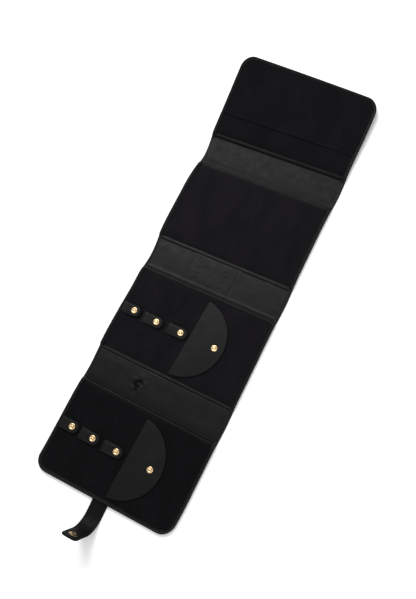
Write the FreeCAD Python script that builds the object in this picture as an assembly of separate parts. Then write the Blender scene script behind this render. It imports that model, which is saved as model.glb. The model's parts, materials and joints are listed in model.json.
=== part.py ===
"""Fold-out travel jewellery case: four padded panels joined by three leather gussets.

The case lies open on its outer leather, lining upwards. The strip runs along Y, from the
closing strap at -Y to the end of panel 1 at +Y, and its width is centred on X = 0. Z = 0 is
the surface that the case lies on. The origin is the centre of the base of the whole model's
box. Every fold turns about the line where the inner faces of a panel's edge and a gusset
meet, so the leather opens on the outside. Panel 1 stands a few degrees off the surface at
rest, held by its springy fold.
"""
import FreeCAD, Part
import math
import os

# Driving dimensions, in millimetres
WIDTH = 193.0                 # across the strip
CORNER_RADIUS = 17.0          # plan corners at the two ends of the strip
BINDING_WIDTH = 4.5           # folded leather strip round every edge
SEAM_WIDTH = 3.2              # thin, sewn strip between a pad and its fold line
FOLD_GAP = 0.3                # between two bodies at a fold line
EDGE_CHAMFER = 1.2            # rounds the underside of the binding

# Lengths along the strip, from the strap's end
PANEL_4_LENGTH = 119.8
GUSSET_3_LENGTH = 46.0
PANEL_3_LENGTH = 113.5
GUSSET_2_LENGTH = 46.5
PANEL_2_LENGTH = 113.0
GUSSET_1_LENGTH = 39.0
PANEL_1_LENGTH = 117.5
PANEL_1_TILT = 3.0            # degrees that the case's springy fold holds panel 1 up

# Thicknesses of the layers, from the outside in
OUTER_LEATHER = 1.0
GUSSET_LINING = 0.8
BOARD = 1.2
FOAM = 1.4
LINING = 0.6
POCKET_SHEET = 0.6

# Necklace tabs: x is measured from the left edge of the strip
TAB_WIDTH = 14.0
TAB_THICKNESS = 1.0
TAB_LIFT = 0.3                # clearance of a tab's root over the lining
TAB_ANCHOR = 3.0              # sewn end of a tab
TAB_BEYOND_SNAP = 8.5
TAB_ROOTS = {3: (7.5, 37.0, 72.5), 4: (7.5, 34.5, 68.5)}
TAB_SNAPS = {3: (22.2, 56.0, 91.2), 4: (21.6, 52.4, 87.2)}
SNAP_ROWS = {3: (221.1, 219.6, 219.8), 4: (61.3, 60.1, 59.3)}     # from the strap's end

# Half-moon flaps over the earring pockets
FLAP_RADIUS = 51.0
FLAP_ARC_DEPTH = 45.5         # from the sewn edge to the middle of the curve
FLAP_THICKNESS = 1.0
FLAP_ROOT = {3: 105.5, 4: 104.5}
FLAP_SNAP = {3: 138.9, 4: 135.0}
FLAP_CENTRE = {3: 220.0, 4: 59.3}
POCKET_MOUTH = 11.0           # from a flap's sewn edge to its pocket's free edge

# Press studs
CAP_RADIUS = 4.2
CAP_HEIGHT = 1.1
CAP_DIMPLE_RADIUS = 1.4
CAP_DIMPLE_DEPTH = 0.4
RIVET_RADIUS = 1.2
SOCKET_RADIUS = 3.6
SOCKET_HEIGHT = 1.2
SOCKET_ROOF = 0.2
SOCKET_BORE = 1.9
STUD_RADIUS = 1.7
STUD_FLANGE_RADIUS = 3.2
STUD_FLANGE = 0.3
STUD_HEIGHT = 1.3             # over the surface it is set in
SOCKET_LIFT = 0.5             # under a closed socket

# Slip pocket on panel 1
SLIP_POCKET_EDGE = 35.5       # from panel 1's fold line to the pocket's free edge

# Earring holes in gusset 2 and the stiffener behind them
EARRING_COLUMNS = (73.0, 108.0)       # from the left edge of the strip
EARRING_FIRST = 11.0                  # from the fold line of panel 3
EARRING_PITCH = 7.5
EARRING_ROWS = 4
EARRING_HOLE_RADIUS = 0.6
STIFFENER_X = (60.5, 121.5)
STIFFENER_MARGIN = 3.0
STIFFENER = 0.4

# Closing strap
STRAP_CENTRE = 96.0           # from the left edge of the strip
STRAP_WIDTH = 20.5
STRAP_THICKNESS = 1.8
STRAP_ROOT_LENGTH = 30.0
STRAP_TIP_LENGTH = 42.0
STRAP_TIP_RADIUS = 5.0
STRAP_CURL = 74.0             # degrees that the tip stands up at rest
STRAP_SNAP = 33.0             # from the strap's middle fold to its snap
STRAP_CAP_RADIUS = 5.4
STRAP_STUD_FROM_FOLD = 27.7   # from the fold line of panel 2 down gusset 2
STRAP_STUD_RECESS = 4.8

# Heights worked out from the layers
GUSSET_TOP = OUTER_LEATHER + GUSSET_LINING
BOARD_TOP = OUTER_LEATHER + BOARD
FOAM_TOP = BOARD_TOP + FOAM
LINING_TOP = FOAM_TOP + LINING
POCKET_TOP = LINING_TOP + POCKET_SHEET
BINDING_TOP = POCKET_TOP + 0.1

# Places along the strip: (start, end) of each panel and gusset
LENGTHS = (
    ("panel_4", PANEL_4_LENGTH),
    ("gusset_3", GUSSET_3_LENGTH),
    ("panel_3", PANEL_3_LENGTH),
    ("gusset_2", GUSSET_2_LENGTH),
    ("panel_2", PANEL_2_LENGTH),
    ("gusset_1", GUSSET_1_LENGTH),
    ("panel_1", PANEL_1_LENGTH),
)
SPAN = {}
reach = 0.0
for name, length in LENGTHS:
    SPAN[name] = (reach, reach + length)
    reach += length

# The strap's curled tip and the end of panel 1 set the box that the origin is centred on
CURL = math.radians(STRAP_CURL)
TILT = math.radians(PANEL_1_TILT)
STRAP_REACH = STRAP_ROOT_LENGTH + STRAP_TIP_LENGTH * math.cos(CURL) + STRAP_THICKNESS * math.sin(CURL)
PANEL_1_REACH = SPAN["panel_1"][0] + PANEL_1_LENGTH * math.cos(TILT)
ORIGIN_Y = (PANEL_1_REACH - STRAP_REACH) / 2
ORIGIN = FreeCAD.Vector(0, -ORIGIN_Y, 0)

nodes = {}


def from_left(x):
    """X of a place measured from the left edge of the strip."""
    return x - WIDTH / 2


def box(x0, x1, y0, y1, z0, z1):
    return Part.makeBox(x1 - x0, y1 - y0, z1 - z0, FreeCAD.Vector(x0, y0, z0))


def cylinder(x, y, z0, z1, radius):
    return Part.makeCylinder(radius, z1 - z0, FreeCAD.Vector(x, y, z0))


def slab(x0, x1, y0, y1, z0, z1, low_radius=0.0, high_radius=0.0):
    """Flat plate whose two corners at y0, or at y1, are rounded in plan."""
    plate = box(x0, x1, y0, y1, z0, z1)
    for radius, y in ((low_radius, y0), (high_radius, y1)):
        if radius > 0:
            corners = [edge for edge in plate.Edges
                       if abs(edge.BoundBox.YMin - y) < 0.01 and abs(edge.BoundBox.YMax - y) < 0.01
                       and edge.BoundBox.ZLength > (z1 - z0) / 2]
            plate = plate.makeFillet(radius, corners)
    return plate


def is_panel(name):
    return name.startswith("panel")


def pad_span(name):
    """Start and end of a panel's pad, inside its binding and sewn strips."""
    start, end = SPAN[name]
    low = BINDING_WIDTH if name == "panel_4" else SEAM_WIDTH
    high = BINDING_WIDTH if name == "panel_1" else SEAM_WIDTH
    return start + low, end - high


def body_span(name):
    """Start and end of a body, short of its fold lines by half the gap."""
    start, end = SPAN[name]
    low = 0.0 if name == "panel_4" else FOLD_GAP / 2
    high = 0.0 if name == "panel_1" else FOLD_GAP / 2
    return start + low, end - high


def corner_radii(name, inset=0.0):
    """Corner radii of a sheet that lies the given distance inside the outline."""
    radius = CORNER_RADIUS - inset
    return (radius if name == "panel_4" else 0.0, radius if name == "panel_1" else 0.0)


def inner_sheet(name, z0, z1, y0, y1):
    """Sheet between the side bindings of a panel or gusset."""
    half = WIDTH / 2 - BINDING_WIDTH
    low, high = corner_radii(name, BINDING_WIDTH)
    return slab(-half, half, y0, y1, z0, z1, low, high)


def outer_leather(name):
    y0, y1 = body_span(name)
    if name == "panel_4":
        y0 += BINDING_WIDTH
    if name == "panel_1":
        y1 -= BINDING_WIDTH
    return inner_sheet(name, 0.0, OUTER_LEATHER, y0, y1)


def chamfer_underside(plate, name):
    """Bevels the lower outer edges of a panel's binding, apart from those at a fold."""
    y0, y1 = plate.BoundBox.YMin, plate.BoundBox.YMax
    chosen = []
    for edge in plate.Edges:
        room = edge.BoundBox
        at_base = room.ZMax < 0.01
        across_low = abs(room.YMax - y0) < 0.01 and name != "panel_4"
        across_high = abs(room.YMin - y1) < 0.01 and name != "panel_1"
        if at_base and not across_low and not across_high:
            chosen.append(edge)
    return plate.makeChamfer(EDGE_CHAMFER, chosen)


def panel_binding(name):
    """Folded strip round a pad: tall beside the pad, thin where it meets a gusset."""
    pad_low, pad_high = pad_span(name)
    low, high = body_span(name)
    half = WIDTH / 2
    outer_low = low if name == "panel_4" else pad_low
    outer_high = high if name == "panel_1" else pad_high
    low_radius, high_radius = corner_radii(name)
    frame = slab(-half, half, outer_low, outer_high, 0.0, BINDING_TOP, low_radius, high_radius)
    frame = chamfer_underside(frame, name)
    frame = frame.cut(inner_sheet(name, -1.0, BINDING_TOP + 1.0, pad_low, pad_high))
    for strip_low, strip_high, at_fold in ((low, pad_low, name != "panel_4"),
                                           (pad_high, high, name != "panel_1")):
        if not at_fold:
            continue
        strip = box(-half, half, strip_low, strip_high, 0.0, GUSSET_TOP)
        inner = half - BINDING_WIDTH
        strip = strip.cut(box(-inner, inner, strip_low, strip_high, 0.0, OUTER_LEATHER))
        frame = frame.fuse(strip)
    return frame.removeSplitter()


def gusset_binding(name):
    y0, y1 = body_span(name)
    half = WIDTH / 2
    left = box(-half, -half + BINDING_WIDTH, y0, y1, 0.0, GUSSET_TOP)
    right = box(half - BINDING_WIDTH, half, y0, y1, 0.0, GUSSET_TOP)
    return Part.makeCompound([left, right])


def stud(x, y, surface, foot):
    """Male half of a press stud, riveted through the layers down to its foot."""
    post = cylinder(x, y, foot, surface, RIVET_RADIUS)
    flange = cylinder(x, y, surface, surface + STUD_FLANGE, STUD_FLANGE_RADIUS)
    nub = cylinder(x, y, surface + STUD_FLANGE, surface + STUD_HEIGHT, STUD_RADIUS)
    return post.fuse([flange, nub]).removeSplitter()


def socket(x, y, z0, radius=SOCKET_RADIUS):
    """Female half of a press stud, open downwards."""
    ring = cylinder(x, y, z0, z0 + SOCKET_HEIGHT, radius)
    return ring.cut(cylinder(x, y, z0, z0 + SOCKET_HEIGHT - SOCKET_ROOF, SOCKET_BORE))


def cap(x, y, leather_low, leather_high, radius=CAP_RADIUS):
    """Domed cap with a centre dimple, and the rivet that joins it to its socket."""
    top = leather_high + CAP_HEIGHT
    crown = cylinder(x, y, leather_high, top, radius)
    crown = crown.makeFillet(CAP_HEIGHT * 0.6, [edge for edge in crown.Edges
                                                if edge.BoundBox.ZMin > top - 0.01])
    crown = crown.cut(cylinder(x, y, top - CAP_DIMPLE_DEPTH, top, CAP_DIMPLE_RADIUS))
    return crown.fuse(cylinder(x, y, leather_low, leather_high, RIVET_RADIUS)).removeSplitter()


def side_profile(points, y0, y1):
    """Solid with the given outline in X and Z, drawn out from y0 to y1."""
    corners = [FreeCAD.Vector(x, y0, z) for x, z in points]
    outline = Part.makePolygon(corners + corners[:1])
    return Part.Face(outline).extrude(FreeCAD.Vector(0, y1 - y0, 0))


def lifting_strip(root, snap, end, low, high, thickness, y0, y1):
    """Strip that leaves its sewn root at height low and lies at height high by its snap."""
    level = snap - CAP_RADIUS
    points = [(root, low), (level, high), (end, high), (end, high + thickness),
              (level, high + thickness), (root, low + thickness)]
    return side_profile(points, y0, y1)


def tab(panel, index):
    """One necklace tab with its rounded end, its snap, stud and sewn anchor."""
    root = from_left(TAB_ROOTS[panel][index])
    snap = from_left(TAB_SNAPS[panel][index])
    y = SNAP_ROWS[panel][index]
    low = LINING_TOP + TAB_LIFT
    high = LINING_TOP + SOCKET_LIFT + SOCKET_HEIGHT
    half = TAB_WIDTH / 2
    end = snap + TAB_BEYOND_SNAP
    strip = lifting_strip(root, snap, end, low, high, TAB_THICKNESS, y - half, y + half)
    outline = box(root, end - half, y - half, y + half, 0.0, high + TAB_THICKNESS)
    outline = outline.fuse(cylinder(end - half, y, 0.0, high + TAB_THICKNESS, half))
    leather = strip.common(outline).cut(cylinder(snap, y, 0.0, 2 * high, RIVET_RADIUS))
    snap_parts = [cap(snap, y, high, high + TAB_THICKNESS), socket(snap, y, high - SOCKET_HEIGHT)]
    anchor_start = max(root - TAB_ANCHOR, -WIDTH / 2 + BINDING_WIDTH)
    anchor = box(anchor_start, root - FOLD_GAP / 2, y - half, y + half, LINING_TOP, low + TAB_THICKNESS)
    return leather, Part.makeCompound(snap_parts), stud(snap, y, LINING_TOP, BOARD_TOP), anchor


def flap(panel):
    """Half-moon flap sewn along its straight edge, with its snap, stud and sewn edge."""
    root = from_left(FLAP_ROOT[panel])
    snap = from_left(FLAP_SNAP[panel])
    y = FLAP_CENTRE[panel]
    low = LINING_TOP + TAB_LIFT
    high = POCKET_TOP + SOCKET_LIFT + SOCKET_HEIGHT
    centre = root + FLAP_ARC_DEPTH - FLAP_RADIUS
    half_chord = math.sqrt(FLAP_RADIUS ** 2 - (root - centre) ** 2)
    end = root + FLAP_ARC_DEPTH
    strip = lifting_strip(root, snap, end, low, high, FLAP_THICKNESS, y - FLAP_RADIUS, y + FLAP_RADIUS)
    disc = cylinder(centre, y, 0.0, 2 * high, FLAP_RADIUS)
    leather = strip.common(disc).cut(cylinder(snap, y, 0.0, 2 * high, RIVET_RADIUS))
    snap_parts = [cap(snap, y, high, high + FLAP_THICKNESS), socket(snap, y, high - SOCKET_HEIGHT)]
    anchor = box(root - TAB_ANCHOR, root - FOLD_GAP / 2, y - half_chord, y + half_chord,
                 LINING_TOP, low + FLAP_THICKNESS)
    return leather, Part.makeCompound(snap_parts), stud(snap, y, POCKET_TOP, LINING_TOP), anchor


def make_panel(name):
    """Layers of one padded panel."""
    pad_low, pad_high = pad_span(name)
    nodes["outer_leather_" + name] = outer_leather(name)
    nodes["board_" + name] = inner_sheet(name, OUTER_LEATHER, BOARD_TOP, pad_low, pad_high)
    nodes["foam_" + name] = inner_sheet(name, BOARD_TOP, FOAM_TOP, pad_low, pad_high)
    nodes["lining_" + name] = inner_sheet(name, FOAM_TOP, LINING_TOP, pad_low, pad_high)
    nodes["binding_" + name] = panel_binding(name)


def make_gusset(name):
    """Outer leather, inner leather and side bindings of one gusset."""
    y0, y1 = body_span(name)
    nodes["outer_leather_" + name] = outer_leather(name)
    nodes["inner_leather_" + name] = inner_sheet(name, OUTER_LEATHER, GUSSET_TOP, y0, y1)
    nodes["binding_" + name] = gusset_binding(name)


def furnish_panel(panel):
    """Tabs, flap and earring pocket of panel 3 or 4."""
    name = "panel_%d" % panel
    studs = []
    anchors = []
    for index in range(3):
        leather, snap, male, anchor = tab(panel, index)
        nodes["tab_%d_%d" % (panel, index + 1)] = leather
        nodes["tab_snap_%d_%d" % (panel, index + 1)] = snap
        studs.append(male)
        anchors.append(anchor)
        x = from_left(TAB_SNAPS[panel][index])
        post = cylinder(x, SNAP_ROWS[panel][index], BOARD_TOP, LINING_TOP, RIVET_RADIUS)
        for layer in ("foam_", "lining_"):
            nodes[layer + name] = nodes[layer + name].cut(post)
    leather, snap, male, anchor = flap(panel)
    nodes["flap_%d" % panel] = leather
    nodes["flap_snap_%d" % panel] = snap
    studs.append(male)
    anchors.append(anchor)
    pad_low, pad_high = pad_span(name)
    low_radius = corner_radii(name, BINDING_WIDTH)[0]
    mouth = from_left(FLAP_ROOT[panel] + POCKET_MOUTH)
    sheet = inner_sheet(name, LINING_TOP, POCKET_TOP, pad_low, pad_high)
    sheet = sheet.common(box(mouth, WIDTH, pad_low, pad_high, LINING_TOP, POCKET_TOP))
    x = from_left(FLAP_SNAP[panel])
    sheet = sheet.cut(cylinder(x, FLAP_CENTRE[panel], LINING_TOP, POCKET_TOP, RIVET_RADIUS))
    nodes["earring_pocket_%d" % panel] = sheet
    nodes["snap_studs_%d" % panel] = Part.makeCompound(studs)
    nodes["sewn_ends_%d" % panel] = Part.makeCompound(anchors)


def make_slip_pocket():
    pad_low, pad_high = pad_span("panel_1")
    edge = SPAN["panel_1"][0] + SLIP_POCKET_EDGE
    nodes["slip_pocket"] = inner_sheet("panel_1", LINING_TOP, POCKET_TOP, edge, pad_high)


def make_earring_rest():
    """Stiffener behind gusset 2's inner leather, and the earring holes through both."""
    name = "inner_leather_gusset_2"
    start, end = SPAN["gusset_2"]
    plate = box(from_left(STIFFENER_X[0]), from_left(STIFFENER_X[1]), start + STIFFENER_MARGIN,
                end - STIFFENER_MARGIN, OUTER_LEATHER, OUTER_LEATHER + STIFFENER)
    leather = nodes[name].cut(plate)
    for column in EARRING_COLUMNS:
        for row in range(EARRING_ROWS):
            y = start + EARRING_FIRST + row * EARRING_PITCH
            hole = cylinder(from_left(column), y, OUTER_LEATHER, GUSSET_TOP, EARRING_HOLE_RADIUS)
            plate = plate.cut(hole)
            leather = leather.cut(hole)
    nodes[name] = leather
    nodes["earring_stiffener"] = plate


def make_strap_stud():
    """Stud that the strap closes on, sunk in the outer leather of gusset 2."""
    x = from_left(STRAP_CENTRE)
    y = SPAN["gusset_2"][1] - STRAP_STUD_FROM_FOLD
    leather = nodes["outer_leather_gusset_2"]
    well = cylinder(x, y, 0.0, OUTER_LEATHER, STRAP_STUD_RECESS)
    flange = cylinder(x, y, OUTER_LEATHER - STUD_FLANGE, OUTER_LEATHER, STRAP_STUD_RECESS)
    nub = cylinder(x, y, 0.1, OUTER_LEATHER - STUD_FLANGE, STUD_RADIUS)
    nodes["outer_leather_gusset_2"] = leather.cut(well)
    nodes["strap_stud"] = flange.fuse(nub).removeSplitter()


def make_strap():
    """Closing strap in two lengths: flat at its root, standing up at its tip."""
    x = from_left(STRAP_CENTRE)
    half = STRAP_WIDTH / 2
    middle = -STRAP_ROOT_LENGTH
    end = middle - STRAP_TIP_LENGTH
    snap_y = middle - STRAP_SNAP
    root = box(x - half, x + half, middle + FOLD_GAP / 2, -FOLD_GAP, 0.0, STRAP_THICKNESS)
    tip = slab(x - half, x + half, end, middle - FOLD_GAP / 2, 0.0, STRAP_THICKNESS, STRAP_TIP_RADIUS)
    tip = tip.cut(cylinder(x, snap_y, 0.0, STRAP_THICKNESS, RIVET_RADIUS))
    button = cap(x, snap_y, 0.0, STRAP_THICKNESS, STRAP_CAP_RADIUS)
    female = socket(x, snap_y, -SOCKET_HEIGHT)
    pivot = FreeCAD.Vector(0, middle, STRAP_THICKNESS)
    across = FreeCAD.Vector(1, 0, 0)
    # The cap is on the outer face, below, and the socket on the inner face, above
    turned = []
    for part in (button, female):
        part = part.copy()
        part.rotate(FreeCAD.Vector(x, snap_y, STRAP_THICKNESS / 2), FreeCAD.Vector(0, 1, 0), 180)
        turned.append(part)
    fittings = Part.makeCompound(turned)
    for part in (tip, fittings):
        part.rotate(pivot, across, -STRAP_CURL)
    nodes["strap_root"] = root
    nodes["strap_tip"] = tip
    nodes["strap_snap"] = fittings


def tilt_panel_1():
    """Turns everything on panel 1 up about its fold line."""
    hinge = FreeCAD.Vector(0, SPAN["panel_1"][0], GUSSET_TOP)
    for name in [node for node in nodes if node.endswith("panel_1")] + ["slip_pocket"]:
        nodes[name].rotate(hinge, FreeCAD.Vector(1, 0, 0), PANEL_1_TILT)


def build():
    for name, _ in LENGTHS:
        if is_panel(name):
            make_panel(name)
        else:
            make_gusset(name)
    for panel in (3, 4):
        furnish_panel(panel)
    make_slip_pocket()
    make_earring_rest()
    make_strap_stud()
    make_strap()
    tilt_panel_1()


def export():
    os.makedirs("parts", exist_ok=True)
    for name, shape in nodes.items():
        shape.translate(ORIGIN)
        shape.exportStep(os.path.join("parts", name + ".step"))


build()
export()
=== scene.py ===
"""Looks of the fold-out travel jewellery case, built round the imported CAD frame. Metres throughout."""
import json
from math import acos, atan2, copysign, cos, exp, hypot, pi, radians, sin, sqrt, tan

import bmesh
import bpy
import numpy as np
from mathutils import Matrix, Vector, noise


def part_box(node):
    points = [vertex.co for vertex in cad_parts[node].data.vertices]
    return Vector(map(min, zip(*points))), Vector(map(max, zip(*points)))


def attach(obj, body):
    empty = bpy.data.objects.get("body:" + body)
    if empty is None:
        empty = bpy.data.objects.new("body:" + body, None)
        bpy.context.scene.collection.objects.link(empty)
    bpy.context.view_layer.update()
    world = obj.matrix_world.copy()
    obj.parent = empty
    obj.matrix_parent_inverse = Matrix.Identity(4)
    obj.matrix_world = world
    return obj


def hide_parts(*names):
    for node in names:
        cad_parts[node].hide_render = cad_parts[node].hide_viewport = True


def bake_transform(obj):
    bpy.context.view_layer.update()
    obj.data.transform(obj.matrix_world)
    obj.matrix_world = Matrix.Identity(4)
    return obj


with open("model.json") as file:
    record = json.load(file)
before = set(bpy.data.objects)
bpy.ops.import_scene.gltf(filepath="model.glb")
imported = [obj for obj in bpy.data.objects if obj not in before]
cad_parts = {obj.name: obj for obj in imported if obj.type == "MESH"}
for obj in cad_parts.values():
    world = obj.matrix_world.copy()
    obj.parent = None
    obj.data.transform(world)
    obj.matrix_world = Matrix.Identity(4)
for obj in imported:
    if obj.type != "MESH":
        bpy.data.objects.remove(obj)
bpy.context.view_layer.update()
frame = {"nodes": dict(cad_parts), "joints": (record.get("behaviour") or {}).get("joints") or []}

MM = 0.001
PANELS = (4, 3, 2, 1)
GUSSETS = (3, 2, 1)

# Where the CAD frame puts things
JOINT = {joint["name"]: joint for joint in frame["joints"]}
EDGE = {n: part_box(f"binding_panel_{n}") for n in PANELS}
LINING_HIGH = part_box("lining_panel_3")[1]
HALF_WIDTH = EDGE[3][1].x
PAD_HALF = LINING_HIGH.x
LINING_TOP = LINING_HIGH.z
BOARD_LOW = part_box("board_panel_3")[0].z
OUTER_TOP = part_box("outer_leather_panel_3")[1].z
BINDING_TOP = EDGE[3][1].z
GUSSET_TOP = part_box("binding_gusset_3")[1].z
BINDING_WIDTH = HALF_WIDTH - PAD_HALF
CORNER_RADIUS = 17 * MM


def fold_y(joint):
    return JOINT[joint]["pos_m"][1]


# Fold lines of each gusset: (nearer the strap, nearer panel 1), and the panels on each side
FOLDS = {
    3: (fold_y("panel_4_fold"), fold_y("gusset_3_fold")),
    2: (fold_y("gusset_2_fold"), fold_y("panel_2_fold")),
    1: (fold_y("gusset_1_fold"), fold_y("panel_1_fold")),
}
BESIDE = {3: (4, 3), 2: (3, 2), 1: (2, 1)}
MIDDLE = {g: sum(FOLDS[g]) / 2 for g in GUSSETS}

# Section of the seam at each fold line, in millimetres: its crest's place from the line into the
# gusset, the crest's height and spread, the groove's depth and spread, and the height of its lip
SEAMS = {
    (3, "low"): (-1.4, 1.7, 1.7, 0.75, 3.8, 0.0),
    (3, "high"): (1.7, 0.45, 1.3, 0.75, 0.5, 0.0),
    (2, "low"): (-1.0, 1.8, 2.4, 0.6, 1.4, 0.35),
    (2, "high"): (1.5, 0.7, 1.4, 0.6, 0.5, 0.0),
    (1, "low"): (0.5, 0.9, 2.4, 0.35, 3.2, 0.0),
    (1, "high"): (-4.4, 1.8, 1.6, 0.75, 0.6, 0.0),
}
CREST_TO_PAD = 3.2 * MM


def pad_span(n):
    """Start and end of a panel's pad along the strip."""
    low = EDGE[n][0].y + BINDING_WIDTH
    high = EDGE[n][1].y - BINDING_WIDTH
    if n != 4:
        low = FOLDS[n][1] - SEAMS[n, "high"][0] * MM + CREST_TO_PAD
    if n != 1:
        high = FOLDS[n - 1][0] + SEAMS[n - 1, "low"][0] * MM - CREST_TO_PAD
    return low, high


PAD = {n: pad_span(n) for n in PANELS}
BESIDE_PADS = {g: (PAD[below][1], PAD[above][0]) for g, (below, above) in BESIDE.items()}


def free_end(n):
    """Y of an end panel's free end, and the way out of it along y."""
    return (EDGE[4][0].y, -1) if n == 4 else (EDGE[1][1].y, 1)


def middle_of(node):
    """X and y of the middle of a CAD node."""
    low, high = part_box(node)
    return (low.x + high.x) / 2, (low.y + high.y) / 2


def from_left(x_mm):
    """X of a place measured from the strip's left edge, in millimetres."""
    return x_mm * MM - HALF_WIDTH


# ---- materials

def new_material(name, **settings):
    """A material with its node tree and shader; settings are the shader's inputs, with _ for a space."""
    material = bpy.data.materials.new(name)
    material.use_nodes = True
    tree = material.node_tree
    shader = tree.nodes["Principled BSDF"]
    for key, value in settings.items():
        shader.inputs[key.replace("_", " ")].default_value = value
    return material, tree, shader


def feed(tree, shader, colour, normal, gloss=None):
    """Links a colour, a bumped normal and perhaps a roughness to the shader."""
    for output, name in ((colour, "Base Color"), (normal, "Normal"), (gloss, "Roughness")):
        if output is not None:
            tree.links.new(output, shader.inputs[name])


def add_node(tree, kind, points=None, **values):
    """A node with its inputs and settings, fed with texture points."""
    node = tree.nodes.new(kind)
    for key, value in values.items():
        if key in node.inputs:
            node.inputs[key].default_value = value
        else:
            setattr(node, key, value)
    if points is not None:
        tree.links.new(points, node.inputs["Vector"])
    return node


def object_points(tree):
    """Texture position in millimetres, fixed to the mesh."""
    source = add_node(tree, "ShaderNodeTexCoord")
    scale = add_node(tree, "ShaderNodeVectorMath", operation="SCALE", Scale=1 / MM)
    tree.links.new(source.outputs["Object"], scale.inputs[0])
    return scale.outputs[0]


def noise_field(tree, points, scale, detail=2.0, rough=0.5, stretch=None):
    if stretch is not None:
        points = add_node(tree, "ShaderNodeMapping", points, Scale=stretch).outputs["Vector"]
    field = add_node(tree, "ShaderNodeTexNoise", points, Scale=scale, Detail=detail, Roughness=rough)
    return field.outputs["Fac"]


def two_tone(tree, value, low_stop, low, high_stop, high):
    """Colour that runs from low to high between two values."""
    node = add_node(tree, "ShaderNodeValToRGB")
    for element, stop, colour in zip(node.color_ramp.elements, (low_stop, high_stop), (low, high)):
        element.position = stop
        element.color = colour
    tree.links.new(value, node.inputs["Fac"])
    return node.outputs["Color"]


def grey(value):
    return (value, value, value, 1.0)


def bump(tree, height, strength, distance, below=None):
    node = add_node(tree, "ShaderNodeBump", Strength=strength, Distance=distance)
    tree.links.new(height, node.inputs["Height"])
    if below is not None:
        tree.links.new(below, node.inputs["Normal"])
    return node.outputs["Normal"]


def multiply_add(tree, value, factor, more=None):
    node = add_node(tree, "ShaderNodeMath", operation="MULTIPLY_ADD")
    tree.links.new(value, node.inputs[0])
    node.inputs[1].default_value = factor
    node.inputs[2].default_value = 0.0
    if more is not None:
        tree.links.new(more, node.inputs[2])
    return node.outputs[0]


def leather_material(name, low, high, roughness=(0.38, 0.52), grain=1.0, shine=0.22):
    """Smooth black leather: pebble grain, fine creases, and a slow drift in tone and gloss."""
    material, tree, shader = new_material(name, Specular_IOR_Level=shine)
    points = object_points(tree)
    tone = two_tone(tree, noise_field(tree, points, 0.045, 3.0, 0.6), 0.3, low, 0.7, high)
    gloss = noise_field(tree, points, 0.11, 4.0, 0.65)
    gloss = two_tone(tree, gloss, 0.3, grey(roughness[0]), 0.72, grey(roughness[1]))
    pebble = add_node(tree, "ShaderNodeTexVoronoi", points, feature="SMOOTH_F1", Scale=1.5, Smoothness=0.6)
    creases = noise_field(tree, points, 0.5, 5.0, 0.6, (1.0, 2.2, 1.0))
    coarse = bump(tree, creases, 0.25 * grain, 0.10 * MM)
    fine = bump(tree, pebble.outputs["Distance"], 0.35 * grain, 0.07 * MM, coarse)
    feed(tree, shader, tone, fine, gloss)
    return material


def suede_material(name, low, high):
    """Near-black microsuede: a matt nap with brushed, slightly purple patches."""
    material, tree, shader = new_material(name, Roughness=0.95, Specular_IOR_Level=0.12, Sheen_Weight=0.06,
                                          Sheen_Roughness=0.5, Sheen_Tint=(0.9, 0.85, 1.0, 1.0))
    points = object_points(tree)
    patches = noise_field(tree, points, 0.035, 4.0, 0.62, (1.0, 0.6, 1.0))
    brushed = noise_field(tree, points, 0.5, 3.0, 0.6, (1.0, 0.22, 1.0))
    mottle = noise_field(tree, points, 0.42, 5.0, 0.75)
    mixed = multiply_add(tree, mottle, 0.9, multiply_add(tree, brushed, 0.35, patches))
    colour = two_tone(tree, multiply_add(tree, mixed, 0.5), 0.45, low, 0.68, high)
    nap = bump(tree, noise_field(tree, points, 0.8, 4.0, 0.6), 0.35, 0.18 * MM)
    feed(tree, shader, colour, bump(tree, noise_field(tree, points, 4.5, 3.0, 0.7), 0.6, 0.12 * MM, nap))
    return material


def brass_material(name, colour=(0.69, 0.525, 0.32, 1.0)):
    """Polished brass plate with faint handling marks."""
    material, tree, shader = new_material(name, Metallic=1.0)
    points = object_points(tree)
    marks = noise_field(tree, points, 0.9, 4.0, 0.7)
    darker = tuple(0.86 * c for c in colour[:3]) + (1.0,)
    feed(tree, shader, two_tone(tree, marks, 0.3, darker, 0.65, colour),
         bump(tree, noise_field(tree, points, 5.0, 2.0), 0.12, 0.03 * MM),
         two_tone(tree, marks, 0.3, grey(0.2), 0.7, grey(0.34)))
    return material


def thread_material(name):
    """Waxed black thread with a twisted ply."""
    material, tree, shader = new_material(name, Roughness=0.6)
    ply = add_node(tree, "ShaderNodeTexWave", object_points(tree), Scale=0.9, Distortion=1.5).outputs["Fac"]
    colour = two_tone(tree, ply, 0.2, grey(0.006), 0.8, grey(0.014))
    feed(tree, shader, colour, bump(tree, ply, 0.4, 0.06 * MM))
    return material


def board_material(name, low, high):
    """Hidden stiffening board, a mottled brown."""
    material, tree, shader = new_material(name, Roughness=0.9)
    speckle = noise_field(tree, object_points(tree), 2.0, 3.0, 0.7)
    feed(tree, shader, two_tone(tree, speckle, 0.3, low, 0.7, high), bump(tree, speckle, 0.5, 0.1 * MM))
    return material


def cool(value, blue=0.0002):
    return (value, value, value + blue, 1)


def smooth_leather(name, tone, **finish):
    low, high = [cool(value * tone, 0.0002 * tone) for value in (0.006, 0.009)]
    return leather_material(name, low, high, **finish)


LEATHER = smooth_leather("leather_smooth", 1.0)
GUSSET_LEATHER = {
    3: smooth_leather("leather_gusset_3", 1.0),
    2: smooth_leather("leather_gusset_2", 1.05),
    1: smooth_leather("leather_gusset_1", 0.90, roughness=(0.43, 0.57), shine=0.19),
}
STRAP_LEATHER = smooth_leather("leather_strap", 0.95, roughness=(0.50, 0.64), shine=0.15)
OUTER = leather_material("leather_outer", cool(0.006), cool(0.010), (0.40, 0.56), 1.5)
EDGING = leather_material("leather_binding", cool(0.007), cool(0.012, 0.0004), (0.32, 0.46), 1.2)


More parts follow.
